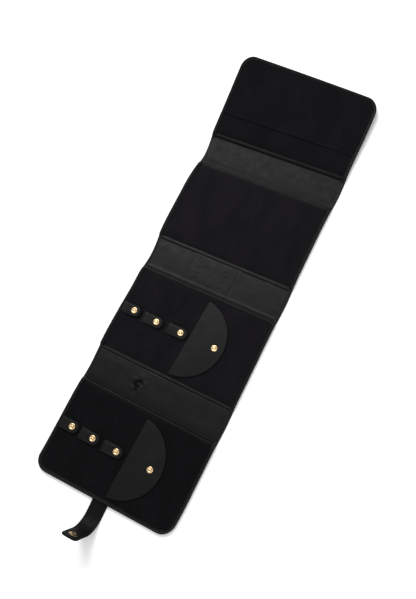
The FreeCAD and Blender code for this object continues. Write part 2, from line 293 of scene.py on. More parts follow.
def suede(name, tone):
    """Suede with its nap brushed lighter or darker."""
    low = (0.0052 * tone, 0.0046 * tone, 0.0056 * tone, 1)
    high = (0.0098 * tone, 0.0085 * tone, 0.0104 * tone, 1)
    return suede_material(name, low, high)


SUEDES = {n: suede(f"suede_panel_{n}", tone) for n, tone in ((4, 0.76), (3, 1.30), (2, 1.42), (1, 0.97))}
# Near-black suede for the tab backings, also used for the strips of painted shade in the seam grooves and the
# crease
SUEDE = suede("suede_backing", 0.75)
BRASS = brass_material("brass_plate")
THREAD = thread_material("black_thread")
BOARD = board_material("grey_board", (0.09, 0.08, 0.065, 1), (0.17, 0.15, 0.12, 1))


# ---- mesh helpers

def new_object(name, data):
    made = bpy.data.objects.new(name, data)
    bpy.context.scene.collection.objects.link(made)
    return made


def make_object(name, skin, material, sharp_deg=50.0):
    """Object of a skin, which is its vertices and faces."""
    vertices, faces = skin
    mesh = bpy.data.meshes.new(name)
    mesh.from_pydata([tuple(v) for v in vertices], [], faces)
    mesh.validate()
    mesh.polygons.foreach_set("use_smooth", [True] * len(mesh.polygons))
    mesh.update()
    bm = bmesh.new()
    bm.from_mesh(mesh)
    bmesh.ops.recalc_face_normals(bm, faces=bm.faces)
    bm.to_mesh(mesh)
    bm.free()
    mesh.set_sharp_from_angle(angle=radians(sharp_deg))
    mesh.materials.append(material)
    return new_object(name, mesh)


def loft(rings):
    """Closed skin over rings of equal length."""
    count = len(rings[0])
    vertices = [point for ring in rings for point in ring]
    faces = []
    for i in range(len(rings) - 1):
        for k in range(count):
            a = i * count + k
            b = i * count + (k + 1) % count
            faces.append((a, b, b + count, a + count))
    end = (len(rings) - 1) * count
    faces.append(tuple(range(count - 1, -1, -1)))
    faces.append(tuple(range(end, end + count)))
    return vertices, faces


def solid_sheet(xs, ys, top_at, bottom_at):
    """Closed sheet over a grid; top_at gives a height for x and y, bottom_at one for x, y and that height."""
    nx, ny = len(xs), len(ys)
    vertices = [(x, y, top_at(x, y)) for y in ys for x in xs]
    vertices += [(x, y, bottom_at(x, y, z)) for x, y, z in vertices]
    faces = []
    under = nx * ny
    for j in range(ny - 1):
        for i in range(nx - 1):
            a = j * nx + i
            faces.append((a, a + 1, a + nx + 1, a + nx))
            faces.append((under + a, under + a + nx, under + a + nx + 1, under + a + 1))
    rim = list(range(nx))
    rim += [j * nx + nx - 1 for j in range(1, ny)]
    rim += [(ny - 1) * nx + i for i in range(nx - 2, -1, -1)]
    rim += [j * nx for j in range(ny - 2, 0, -1)]
    for a, b in zip(rim, rim[1:] + rim[:1]):
        faces.append((a, under + a, under + b, b))
    return vertices, faces


def join_parts(parts):
    """One skin of several."""
    vertices, faces = [], []
    for more, skin in parts:
        faces += [tuple(k + len(vertices) for k in face) for face in skin]
        vertices += more
    return vertices, faces


def steps(low, high, size):
    """Even steps of about the given size, both ends included."""
    return np.linspace(low, high, max(2, int(round(abs(high - low) / size)) + 1))


def smooth(low, high, value):
    """Smooth step from 0 at low to 1 at high."""
    t = float(np.clip((value - low) / (high - low), 0, 1))
    return t * t * (3 - 2 * t)


def wobble(x, y, z, scale):
    """Smooth noise, about -1 to 1, with features of the given size in metres."""
    return noise.noise(Vector((x, y, z)) / scale)


# ---- lie of the case

PANEL_1_SLOPE = tan(radians(3.0))     # of panel 1 in the CAD
CORNER_CURL = 19 * MM                           # of panel 1's free left corner, over its slope
EDGE_FADE = 45 * MM                             # how far in from an edge its waves reach


def near(y, centre, spread):
    """Bell curve, 1 at its centre."""
    return exp(-((y - centre) / spread) ** 2)


def side_shift(x, y):
    """Sideways waves of the two long edges: the gussets pull the left one in and push the right one out."""
    left, right = -0.9 * MM, -0.6 * MM
    for g, pull, push, off in ((3, 1.7, 0.6, 6), (2, 3.6, 1.2, 1), (1, 4.6, 1.6, 6)):
        left += pull * MM * near(y, MIDDLE[g] - off * MM, 25 * MM)
        right += push * MM * near(y, MIDDLE[g], 25 * MM)
    left += 2.0 * MM * near(y, MIDDLE[2] - 50 * MM, 36 * MM)
    at_strap = near(y, EDGE[4][0].y, 32 * MM)
    at_end = near(y, EDGE[1][1].y, 28 * MM)
    left += 1.2 * MM * at_end - 1.0 * MM * at_strap
    right -= 2.2 * MM * at_strap + 1.2 * MM * at_end + 0.8 * MM * near(y, EDGE[4][0].y + 70 * MM, 70 * MM)
    to_left = smooth(-HALF_WIDTH + EDGE_FADE, -HALF_WIDTH, x)
    to_right = smooth(HALF_WIDTH - EDGE_FADE, HALF_WIDTH, x)
    return left * to_left + right * to_right


def cross_slope(y):
    """The lines across the strip run slightly askew, and the other way at the strap's end."""
    return -0.011 + 0.027 * smooth(FOLDS[3][0], EDGE[4][0].y, y)


def rise(x, y):
    """Panel 1 slopes up from its fold, and its free left corner curls up further."""
    beyond = y - FOLDS[1][1]
    if beyond <= 0:
        return 0.0
    along = min(beyond / (EDGE[1][1].y - FOLDS[1][1]), 1.0)
    across = min(max((HALF_WIDTH - x) / (2 * HALF_WIDTH), 0.0), 1.0)
    return PANEL_1_SLOPE * beyond + CORNER_CURL * along ** 1.6 * across ** 0.87


def settle(piece):
    """Gives a piece that was built flat and square the lie of the case."""
    for vertex in piece.data.vertices:
        x, y, z = vertex.co
        vertex.co = (x + side_shift(x, y), y + cross_slope(y) * x, z + rise(x, y))
    piece.data.update()


def round_corners(piece, n, inset):
    """Draws the square corners of a sheet in to the end panel's rounded outline."""
    if n not in (1, 4):
        return
    end, way = free_end(n)
    reach = CORNER_RADIUS - inset
    for vertex in piece.data.vertices:
        x, y, z = vertex.co
        u = (abs(x) - HALF_WIDTH + CORNER_RADIUS) / reach
        v = ((y - end) * way + CORNER_RADIUS) / reach
        if u > 0 and v > 0:
            shrink = (max(u, v) / hypot(u, v) - 1) * reach
            vertex.co = (x + copysign(1, x) * u * shrink, y + way * v * shrink, z)


def fit(piece, replaces):
    settle(piece)
    if replaces:
        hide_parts(*replaces)


def place(piece, body, replaces=()):
    """Fixes a piece to one body."""
    fit(piece, replaces)
    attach(piece, body)


def bend(piece, replaces=()):
    """Settles a piece, hides the CAD nodes it replaces and bakes its transform into its mesh, fixed to no body.
    """
    fit(piece, replaces)
    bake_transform(piece)


def bend_at_fold(piece, g, part, replaces=()):
    """Settles half of a gusset's piece and bakes its transform; the low half replaces the CAD node."""
    low, high = FOLDS[g]
    if part == "low":
        bend(piece, replaces)
    else:
        bend(piece)


# ---- pads

CHANNELS = {3: (33.0, 68.0), 4: (31.0, 65.0)}
PAD_CELL = 2.5 * MM           # of the simulated skin
PAD_GRID = 2.2 * MM           # of the pad's own mesh
PAD_TUCK = 0.8 * MM           # how far a pad runs under its binding
PAD_SWELL = 0.72 * MM
CLOTH_FRAMES = 20


def pad_seams(n):
    """X of the seams sewn through a pad."""
    if n not in CHANNELS:
        return []
    seams = [from_left(x) for x in CHANNELS[n]]
    seams.append(JOINT[f"flap_{n}_lift"]["pos_m"][0])
    return seams


def pinned(x, y, pad, seams):
    edge = min(PAD_HALF - abs(x), y - pad[0], pad[1] - y)
    if edge < 0.1 * MM:
        return True
    return any(abs(x - seam) < 0.6 * PAD_CELL for seam in seams)


def simulated_skin(n, xs, ys, seams):
    """Height over the lining of a skin held at its rim and seams and pushed up by the foam."""
    pad = PAD[n]
    vertices = [(x, y, 0.0) for y in ys for x in xs]
    nx = len(xs)
    faces = [(j * nx + i, j * nx + i + 1, (j + 1) * nx + i + 1, (j + 1) * nx + i)
             for j in range(len(ys) - 1) for i in range(nx - 1)]
    skin = make_object("skin_work", (vertices, faces), SUEDE)
    held = skin.vertex_groups.new(name="held")
    held.add([k for k, v in enumerate(vertices) if pinned(v[0], v[1], pad, seams)], 1.0, "REPLACE")
    for k, vertex in enumerate(skin.data.vertices):
        vertex.co.z += 0.05 * MM * wobble(vertex.co.x, vertex.co.y, n * 3.0, 14 * MM)
    cloth = skin.modifiers.new("cloth", "CLOTH")
    settings = cloth.settings
    settings.vertex_group_mass = "held"
    settings.use_pressure = True
    settings.uniform_pressure_force = 2.0
    settings.shrink_min = -0.004
    settings.effector_weights.gravity = 0.0
    scene = bpy.context.scene
    cloth.point_cache.frame_end = CLOTH_FRAMES
    for step in range(1, CLOTH_FRAMES + 1):
        scene.frame_set(step)
    shown = skin.evaluated_get(bpy.context.evaluated_depsgraph_get())
    heights = np.array([v.co.z for v in shown.data.vertices]).reshape(len(ys), nx)
    scene.frame_set(1)
    bpy.data.objects.remove(skin)
    return heights


def make_skin(n):
    seams = pad_seams(n)
    xs = steps(-PAD_HALF, PAD_HALF, PAD_CELL)
    for seam in seams:
        xs[np.argmin(abs(xs - seam))] = seam
    ys = steps(*PAD[n], PAD_CELL)
    heights = simulated_skin(n, xs, ys, seams)
    swell = np.percentile(heights, 95)
    heights = np.clip(heights / max(swell, 1e-6), -0.15, 1.25) * PAD_SWELL
    return xs, ys, heights


SKIN = {n: make_skin(n) for n in PANELS}


def cell(lines, value):
    """Index of the grid cell that a value is in, and how far along the cell it is."""
    k = int(np.clip(np.searchsorted(lines, value) - 1, 0, len(lines) - 2))
    return k, min(max((value - lines[k]) / (lines[k + 1] - lines[k]), 0), 1)


def skin_height(n, x, y):
    """Height of a panel's lining at a place, between the points of its skin."""
    xs, ys, heights = SKIN[n]
    i, u = cell(xs, x)
    j, v = cell(ys, y)
    low = heights[j][i] * (1 - u) + heights[j][i + 1] * u
    high = heights[j + 1][i] * (1 - u) + heights[j + 1][i + 1] * u
    return LINING_TOP + low * (1 - v) + high * v


SEAM_DEPTH = 0.5 * MM
SEAM_SPREAD = 0.715 * MM
RIM_DROP = 1.5 * MM           # how far a pad's rim dips beside a gusset
RIM_REACH = 2.2 * MM


def seam_groove(n, x):
    """Depth of the sewn grooves between a pad's channels."""
    return max([SEAM_DEPTH * near(x, seam, SEAM_SPREAD) for seam in pad_seams(n)[:2]], default=0.0)


def rim_drop(n, y):
    """Dip of a pad's rim at its folds."""
    low, high = PAD[n]
    ways_in = [y - low] * (n != 4) + [high - y] * (n != 1)
    return sum(RIM_DROP * exp(-max(way, 0.0) / RIM_REACH) for way in ways_in)


def lining_height(n, x, y):
    ruffle = 0.10 * MM * wobble(x, y, 5.0 + n, 9 * MM)
    return skin_height(n, x, y) - seam_groove(n, x) - rim_drop(n, y) + ruffle


def seam_refined(n, low, high, size):
    """Grid lines across a pad, closer together beside its seams."""
    xs = list(steps(low, high, size))
    for seam in pad_seams(n)[:2]:
        xs += [seam + k * 0.4 * MM for k in range(-4, 5)]
    return np.array(sorted(xs))


def make_pad(n):
    low, high = PAD[n]
    low -= PAD_TUCK if n == 4 else 0.0
    high += PAD_TUCK if n == 1 else 0.0
    xs = seam_refined(n, -PAD_HALF - PAD_TUCK, PAD_HALF + PAD_TUCK, PAD_GRID)
    ys = np.array(sorted(list(steps(low, high, PAD_GRID)) + [low + 0.9 * MM, high - 0.9 * MM]))
    skin = solid_sheet(xs, ys, lambda x, y: lining_height(n, x, y), lambda x, y, top: BOARD_LOW)
    piece = make_object(f"pad_{n}", skin, SUEDES[n])
    round_corners(piece, n, BINDING_WIDTH - PAD_TUCK)
    names = [f"{kind}_panel_{n}" for kind in ("lining", "foam", "board")]
    place(piece, f"panel_{n}", names)


# ---- edge binding

# Section of the binding over a pad: distance in from the edge and height, in millimetres,
# from the underside's inner edge, round the outside and over to the lining
SECTION = (
    (4.6, 0.55), (4.4, 0.1), (3.6, 0.02), (2.4, 0.0), (1.3, 0.08), (0.5, 0.5), (0.1, 1.3), (0.0, 2.4),
    (0.15, 3.5), (0.6, 4.35), (1.3, 4.8), (2.0, 4.92), (2.5, 4.7), (2.85, 4.05), (3.25, 4.05),
    (3.6, 4.65), (4.1, 4.82), (4.55, 4.6), (4.75, 4.2), (4.7, 3.6),
)
THIN = GUSSET_TOP / BINDING_TOP * 1.12      # the binding's height beside a gusset, as a share


def section_points(thin):
    """The binding's section; thin is 0 beside a pad and 1 beside a gusset."""
    scale = 1 - thin * (1 - THIN)
    return [(d * MM, z * MM * scale) for d, z in SECTION]


def binding_ring(x, y, inward, thin=0.0):
    """One ring of the binding at a place on the outline; inward is the way to the middle."""
    shift = 0.12 * MM * wobble(x, y, 1.0, 18 * MM)
    puff = 1 + 0.035 * wobble(x, y, 5.0, 7 * MM)
    ring = []
    for d, z in section_points(thin):
        d = d + shift * (1 - d / (5 * MM))
        ring.append((x + inward[0] * d, y + inward[1] * d, max(z * puff, 0.0)))
    return ring


def side_rings(side, y_from, y_to, thin_at, step=1.6 * MM):
    x, inward = side * HALF_WIDTH, (-side, 0.0)
    return [binding_ring(x, y, inward, thin_at(y)) for y in steps(y_from, y_to, step)]


def two_sides(y_from, y_to, thin_at, step=1.6 * MM):
    """Binding of both long edges."""
    return join_parts([loft(side_rings(side, y_from, y_to, thin_at, step)) for side in (-1, 1)])


def full_height(_y):
    """Beside a pad the binding is nowhere thin."""
    return 0.0


def corner_rings(n, side, step_deg=7.5):
    """Rings round a rounded corner of panel 4 or 1."""
    end, way = free_end(n)
    cx = side * (HALF_WIDTH - CORNER_RADIUS)
    cy = end - way * CORNER_RADIUS
    rings = []
    for k in range(int(90 / step_deg) + 1):
        angle = radians(k * step_deg)
        out = (side * cos(angle), way * sin(angle))
        x, y = cx + out[0] * CORNER_RADIUS, cy + out[1] * CORNER_RADIUS
        rings.append(binding_ring(x, y, (-out[0], -out[1])))
    return rings


def end_panel_rings(n):
    """One run of rings: up one side, round the free end and down the other side."""
    end, way = free_end(n)
    pad_end = PAD[4][1] if n == 4 else PAD[1][0]
    right, left = [side_rings(side, pad_end, end - way * CORNER_RADIUS, full_height) for side in (1, -1)]
    run = np.linspace(HALF_WIDTH - CORNER_RADIUS, CORNER_RADIUS - HALF_WIDTH, 100)
    across = [binding_ring(x, end, (0.0, -way)) for x in run[1:-1]]
    return right[:-1] + corner_rings(n, 1) + across + corner_rings(n, -1)[::-1] + left[-2::-1]


def make_panel_binding(n):
    skin = loft(end_panel_rings(n)) if n in (1, 4) else two_sides(*PAD[n], full_height)
    piece = make_object(f"binding_{n}", skin, EDGING, 40)
    place(piece, f"panel_{n}", [f"binding_panel_{n}"])


def make_gusset_binding(g):
    """Side bindings beside a gusset, in two lengths that each cross one fold line."""
    low, high = FOLDS[g]
    start, end = BESIDE_PADS[g]

    def thin_at(y):
        return smooth(start, low + 2 * MM, y) * (1 - smooth(high - 2 * MM, end, y))

    for part, y_from, y_to in (("low", start, MIDDLE[g]), ("high", MIDDLE[g], end)):
        skin = two_sides(y_from, y_to, thin_at, 1.2 * MM)
        piece = make_object(f"binding_gusset_{g}_{part}", skin, EDGING, 40)
        bend_at_fold(piece, g, part, [f"binding_gusset_{g}"])


# ---- gussets

EARRING_COLUMNS = (73.0, 108.0)
EARRING_ROWS = [FOLDS[2][0] + (11.0 + 7.5 * k) * MM for k in range(4)]
PATCH_SEAMS = (60.5, 121.5)
DIMPLE = (from_left(70.8), MIDDLE[3] - 0.5 * MM)
HOOK_RADIUS = 3.7 * MM
HOLE_RADIUS = 0.75 * MM       # of the holes for earring posts
GROOVE_FROM_CREST = 2.2 * MM
SHEET_TUCK = 0.6 * MM         # how far a sheet runs under its binding
SHEET_GAP = 1.2 * MM          # from a fold line to the end of a gusset's outer leather
SHEET_HALF = HALF_WIDTH - BINDING_WIDTH + SHEET_TUCK


def gusset_sag(g, x, y):
    """Soft waves of a gusset's leather, which is tight at its folds."""
    low, high = FOLDS[g]
    t = (y - low) / (high - low)
    held = smooth(0.08, 0.3, t) * (1 - smooth(0.7, 0.92, t))
    wave = 0.30 * MM * wobble(x * 0.35, y, 11.0 + g, 21 * MM)
    wave += 0.10 * MM * wobble(x, y, 17.0 + g, 9 * MM)
    return held * (0.25 * MM + wave)


def hook_radius(angle):
    """The hook-shaped crease isn't quite round."""
    return HOOK_RADIUS * (1 + 0.18 * sin(2 * angle + 0.6))


def seam_wave(x, crest):
    """How far a seam strays from its straight line."""
    return 0.25 * MM * wobble(x, crest, 2.0, 19 * MM)


def dimple(x, y):
    """Hook-shaped crease pressed into gusset 3, with a puckered rim and a tail."""
    dx, dy = x - DIMPLE[0], y - DIMPLE[1]
    r = hypot(dx, dy)
    if r > 20 * MM:
        return 0.0
    angle = atan2(dy, dx)
    opening = near(angle, -0.4, 0.5)
    mound = 0.9 * MM * near(r, 0.0, 10 * MM)
    hook = -2.2 * MM * near(r, hook_radius(angle), 1.5 * MM) * (1 - 0.9 * opening)
    tail = -1.6 * MM * near(dx, -1.5 * MM, 1.4 * MM) * near(dy, -9 * MM, 3.4 * MM)
    pucker = 0.25 * MM * sin(5 * angle) * near(r, 9.5 * MM, 2.2 * MM)
    return max(mound + hook + tail + pucker, -0.7 * MM)


def gusset_marks(g, x, y):
    """Pressed marks: stitched patch and earring holes in gusset 2, dimple in gusset 3."""
    if g == 3:
        return dimple(x, y)
    if g != 2:
        return 0.0
    drop = 0.0
    for seam in PATCH_SEAMS:
        drop -= 0.28 * MM * near(x, from_left(seam), 0.9 * MM)
    for column in EARRING_COLUMNS:
        for row in EARRING_ROWS:
            drop -= 0.35 * MM * near(hypot(x - from_left(column), y - row), 0.0, 1.3 * MM)
    return drop


def seam_relief(u, x, seam):
    """Raised seam, the groove beyond it and the groove's lip; u is the way from the fold into the gusset."""
    crest, height, spread, depth, reach, lip = [value * MM for value in SEAMS[seam]]
    away = u - crest - seam_wave(x, crest)
    beyond = away - GROOVE_FROM_CREST
    roll = height * near(away, 0.0, spread)
    groove = depth * near(beyond, 0.0, reach if beyond > 0 else 0.8 * MM)
    edge = lip * near(beyond, 2.6 * MM, 1.8 * MM)
    shoulder = 0.3 * MM * (1 - smooth(-2.6 * MM, -1.2 * MM, away))
    return roll - groove + edge + shoulder


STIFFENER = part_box("earring_stiffener")
COVER = 0.15 * MM             # least leather over the stiffener


def inner_leather_height(g, x, y):
    low, high = FOLDS[g]
    if y < MIDDLE[g]:
        seam = seam_relief(y - low, x, (g, "low"))
    else:
        seam = seam_relief(high - y, x, (g, "high"))
    height = GUSSET_TOP + seam + gusset_sag(g, x, y) + gusset_marks(g, x, y)
    margin = 2 * MM
    over = STIFFENER[0].x - margin < x < STIFFENER[1].x + margin and (
        STIFFENER[0].y - margin < y < STIFFENER[1].y + margin)
    return max(height, STIFFENER[1].z + COVER) if g == 2 and over else height


def seam_lines(g, part):
    """Grid lines along a gusset's half, close together at its seam."""
    low, high = FOLDS[g]
    start, end = BESIDE_PADS[g]
    if part == "low":
        fine = steps(start - 0.5 * MM, low + 6.5 * MM, 0.45 * MM)
        return np.concatenate((fine[:-1], steps(fine[-1], MIDDLE[g], 1.0 * MM)))
    fine = steps(high - 6.5 * MM, end + 0.5 * MM, 0.45 * MM)
    return np.concatenate((steps(MIDDLE[g], fine[0], 1.0 * MM)[:-1], fine))


# Half width, in millimetres, of the near-black suede strip of painted shade laid in a seam's groove
GROOVE_SHADE_STRIPS = {(3, "low"): 0.9, (2, "low"): 0.5, (1, "high"): 0.6}


def make_groove_shade_strip(g, part):
    """Near-black suede strip at the bottom of a seam's groove: painted shade in the groove."""
    low, high = FOLDS[g]
    fold, way = (low, 1) if part == "low" else (high, -1)
    crest = SEAMS[g, part][0] * MM
    half = GROOVE_SHADE_STRIPS[g, part] * MM
    xs = steps(-PAD_HALF, PAD_HALF, 1.3 * MM)
    across = np.array([-1, -0.6, 0.0, 0.6, 1]) * half

    def middle(x):
        return fold + way * (crest + GROOVE_FROM_CREST + seam_wave(x, crest))

    def top_at(x, d):
        return inner_leather_height(g, x, middle(x) + d) + (0.12 * MM if abs(d) < half else -0.15 * MM)

    vertices, faces = solid_sheet(xs, across, top_at, lambda x, d, top: top - 0.5 * MM)
    vertices = [(x, middle(x) + d, z) for x, d, z in vertices]
    piece = make_object(f"groove_shade_strip_{g}_{part}", (vertices, faces), SUEDE)
    bend_at_fold(piece, g, part)


# Section of the strip of painted shade in the crease: share of its half width, and height over the leather in
# millimetres
CREASE_SHADE_SECTION = ((-1, -0.3), (-0.6, 0.1), (0, 0.12), (0.6, 0.1), (1, -0.3), (0.6, -0.4), (-0.6, -0.4))


def make_crease_shade():
    """Near-black suede strip along the hook-shaped crease in gusset 3: painted shade in the crease."""
    path = []
    for k in range(33):
        angle = radians(10 + 275 * k / 32)
        radius = hook_radius(angle)
        path.append((DIMPLE[0] + radius * cos(angle), DIMPLE[1] + radius * sin(angle)))
    x, y = path[-1]
    path += [(x - 0.5 * k * MM, y - 0.9 * k * MM) for k in range(1, 9)]
    rings = []
    for k, (x, y) in enumerate(path):
        x0, y0 = path[max(k - 1, 0)]
        x1, y1 = path[min(k + 1, len(path) - 1)]
        length = hypot(x1 - x0, y1 - y0)
        across = ((y1 - y0) / length, (x0 - x1) / length)
        wide = 2.9 * MM * sin(pi * (k + 0.6) / (len(path) + 0.2)) ** 0.4
        ring = []
        for share, lift in CREASE_SHADE_SECTION:
            px, py = x + across[0] * wide * share, y + across[1] * wide * share
            ring.append((px, py, inner_leather_height(3, px, py) + lift * MM))
        rings.append(ring)
    place(make_object("crease", loft(rings), SUEDE), "gusset_3")


def punch(piece, holes, radius):
    """Cuts round holes straight down through a piece."""
    cutters = []
    for x, y in holes:
        bpy.ops.mesh.primitive_cylinder_add(vertices=16, radius=radius, depth=20 * MM, location=(x, y, 0))
        cutters.append(bpy.context.object)
    with bpy.context.temp_override(active_object=cutters[0], selected_editable_objects=cutters):
        bpy.ops.object.join()
    cut = piece.modifiers.new("holes", "BOOLEAN")
    cut.operation = "DIFFERENCE"
    cut.solver = "EXACT"
    cut.object = cutters[0]
    shown = piece.evaluated_get(bpy.context.evaluated_depsgraph_get())
    mesh = bpy.data.meshes.new_from_object(shown)
    piece.modifiers.clear()
    piece.data = mesh
    bpy.data.objects.remove(cutters[0])


def outer_sheet(name, y_from, y_to, cell_x, cell_y):
    """Sheet of the outer leather, nearly flat underneath."""
    xs = steps(-SHEET_HALF, SHEET_HALF, cell_x)
    skin = solid_sheet(xs, steps(y_from, y_to, cell_y), lambda x, y: OUTER_TOP,
                       lambda x, y, top: 0.05 * MM + 0.05 * MM * wobble(x, y, 30.0, 12 * MM))
    return make_object(name, skin, OUTER)


def make_gusset(g):
    """Inner and outer leather of a gusset, each in two sheets that each cross one fold line."""
    low, high = FOLDS[g]
    stud = middle_of("strap_stud")
    for part in ("low", "high"):
        ys = seam_lines(g, part)
        skin = solid_sheet(steps(-SHEET_HALF, SHEET_HALF, 1.3 * MM), ys,
                           lambda x, y: inner_leather_height(g, x, y),
                           lambda x, y, top: min(OUTER_TOP, top - 0.4 * MM))
        inner = make_object(f"inner_leather_{g}_{part}", skin, GUSSET_LEATHER[g])
        if g == 2:
            holes = [(from_left(c), r) for c in EARRING_COLUMNS for r in EARRING_ROWS if ys[0] < r < ys[-1]]
            punch(inner, holes, HOLE_RADIUS)
        bend_at_fold(inner, g, part, [f"inner_leather_gusset_{g}"])
        y_from, y_to = (low - SHEET_GAP, MIDDLE[g]) if part == "low" else (MIDDLE[g], high + SHEET_GAP)
        outer = outer_sheet(f"outer_leather_gusset_{g}_{part}", y_from, y_to, 2.5 * MM, 1.8 * MM)
        if g == 2 and y_from < stud[1] < y_to:
            stud_low, stud_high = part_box("strap_stud")
            punch(outer, [stud], (stud_high.x - stud_low.x) / 2)
        bend_at_fold(outer, g, part, [f"outer_leather_gusset_{g}"])


def make_outer_leather(n):
    """Outer leather under a pad."""
    y_from = PAD[4][0] - SHEET_TUCK if n == 4 else FOLDS[n][1] + SHEET_GAP
    y_to = PAD[1][1] + SHEET_TUCK if n == 1 else FOLDS[n - 1][0] - SHEET_GAP
    piece = outer_sheet(f"outer_leather_{n}", y_from, y_to, 4 * MM, 4 * MM)
    round_corners(piece, n, BINDING_WIDTH - SHEET_TUCK)
    place(piece, f"panel_{n}", [f"outer_leather_panel_{n}"])


# ---- pockets

def make_pocket_sheet(name, n, x_from, x_to, y_from, y_to, free, replaces):
    """Suede sheet on a pad; its free edge is at the low x ('x') or low y ('y') side."""
    thickness = 0.6 * MM

    def top_at(x, y):
        away = (x - x_from) if free == "x" else (y - y_from)
        lip = 0.35 * MM * near(away, 0.0, 2.2 * MM)
        ruffle = 0.10 * MM * wobble(x, y, 40.0, 11 * MM)
        return skin_height(n, x, y) - rim_drop(n, y) + lip + ruffle + 0.12 * MM + thickness

    skin = solid_sheet(steps(x_from, x_to, 2 * MM), steps(y_from, y_to, 2 * MM), top_at,
                       lambda x, y, top: top - thickness)
    piece = make_object(name, skin, SUEDES[n])
    round_corners(piece, n, BINDING_WIDTH - SHEET_TUCK)
    place(piece, f"panel_{n}", [replaces])


def make_pockets():
    edge = PAD_HALF + SHEET_TUCK
    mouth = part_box("slip_pocket")[0].y
    make_pocket_sheet("slip_pocket_sheet", 1, -edge, edge, mouth, PAD[1][1] + SHEET_TUCK, "y", "slip_pocket")
    for n in (3, 4):
        node = f"earring_pocket_{n}"
        make_pocket_sheet(f"earring_pocket_sheet_{n}", n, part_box(node)[0].x, edge, *PAD[n], "x", node)


# ---- brass snaps

def turned(profile, centre, segments=40, axes=Matrix.Identity(3)):
    """A turned part: profile is (radius, height) pairs from the bottom centre up."""
    rings = []
    turns = [2 * pi * k / segments for k in range(segments)]
    for radius, height in profile:
        radius = max(radius, 0.02 * MM)
        ring = [Vector((radius * cos(a), radius * sin(a), height)) for a in turns]
        rings.append([tuple(Vector(centre) + axes @ point) for point in ring])
    return loft(rings)


# Profiles of the press studs: radius and height, in millimetres
CAP_RADIUS = 4.2
CAP_PROFILE = ((0.0, -0.1), (3.95, -0.1), (4.15, 0.1), (CAP_RADIUS, 0.35), (4.0, 0.72), (3.6, 1.0),
               (3.1, 1.12), (2.6, 1.08), (2.25, 0.9), (2.05, 0.72), (1.75, 0.66), (1.4, 0.7), (1.05, 0.86),
               (0.65, 0.98), (0.0, 1.02))
SOCKET_PROFILE = ((0.0, 0.9), (1.9, 0.9), (1.9, 0.0), (2.3, -0.05), (3.1, 0.05), (3.5, 0.3), (3.6, 0.7),
                  (3.4, 1.1), (2.8, 1.2), (0.0, 1.2))
STUD_PROFILE = ((0.0, 0.0), (3.1, 0.0), (3.2, 0.15), (2.9, 0.32), (1.7, 0.36), (1.45, 0.6), (1.6, 0.95),
                (1.55, 1.2), (1.1, 1.34), (0.0, 1.36))


def scaled(profile, factor=1.0):
    return [(r * MM * factor, z * MM) for r, z in profile]


def place_brass(name, parts, body, node):
    place(make_object(name, join_parts(parts), BRASS, 35), body, [node])


def make_snap(name, node, body):
    """Cap over the leather and socket under it."""
    low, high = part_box(node)
    x, y = middle_of(node)
    place_brass(name, [turned(scaled(CAP_PROFILE), (x, y, high.z - 1.1 * MM)),
                       turned(scaled(SOCKET_PROFILE), (x, y, low.z))], body, node)


def make_studs(n):
    """Studs of one panel's tabs and flap."""
    nodes = [f"tab_snap_{n}_{i}" for i in (1, 2, 3)] + [f"flap_snap_{n}"]
    parts = [turned(scaled(STUD_PROFILE), (*middle_of(node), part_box(node)[0].z - 0.5 * MM)) for node in nodes]
    place_brass(f"studs_{n}", parts, f"panel_{n}", f"snap_studs_{n}")


# ---- tabs and flaps

TAB_LEATHER = 1.0 * MM
TAB_BACKING = 0.35 * MM
FLAP_LEATHER = 1.1 * MM


def plan_solid(outline, height, thickness, edge_round=0.3 * MM, crease=0.0):
    """Sheet with a free outline and perhaps a pressed line near its edge; its rings shrink to a spine."""
    points, spine = outline
    near_edge = ((0.0, edge_round), (0.12, 0.1 * MM), (0.35, 0.0), (1.0, 0.0), (1.35, crease), (1.7, 0.0))
    rings = [(inset * MM, None, drop) for inset, drop in near_edge]
    rings += [(None, share, 0.0) for share in (0.45, 0.65, 0.85)]
    top, bottom = [], []
    for inset, fixed, drop in rings:
        up, down = [], []
        for (x, y), (sx, sy) in zip(points, spine):
            share = inset / hypot(sx - x, sy - y) if fixed is None else fixed
            px, py = x + (sx - x) * share, y + (sy - y) * share
            z = height(px, py)
            up.append((px, py, z + thickness - drop))
            down.append((px, py, z + (min(drop, 0.2 * MM) if inset in (0.0, 0.12 * MM) else 0.0)))
        top.append(up)
        bottom.append(down)
    return loft(bottom[::-1] + top)


def tab_points(x_start, end, half, y, segments=18):
    """Outline of a round-ended tab and, for each point, the place on its spine."""
    points, spine = [], []
    body = steps(x_start, end - half, 1.6 * MM)
    turns = [pi * (k / segments - 0.5) for k in range(1, segments)]
    arc = [(end - half + half * cos(a), y + half * sin(a)) for a in turns]
    for side, run in ((-1, body), (1, body[::-1])):
        points += [(x, y + side * half) for x in run]
        spine += [(min(x + 0.5 * half, end - half), y) for x in run]
        if side == -1:
            points += arc
            spine += [(end - half, y)] * len(arc)
    for share in (0.75, 0.5, 0.25):
        points.append((x_start, y - half + 2 * half * share))
        spine.append((x_start + 0.5 * half, y))
    return points, spine


def measures(body, snap):
    """Low and high corner of a tab or flap, its snap's x, its middle y and its half width."""
    low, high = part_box(body)
    return low, high, middle_of(snap)[0], middle_of(body)[1], (high.y - low.y) / 2


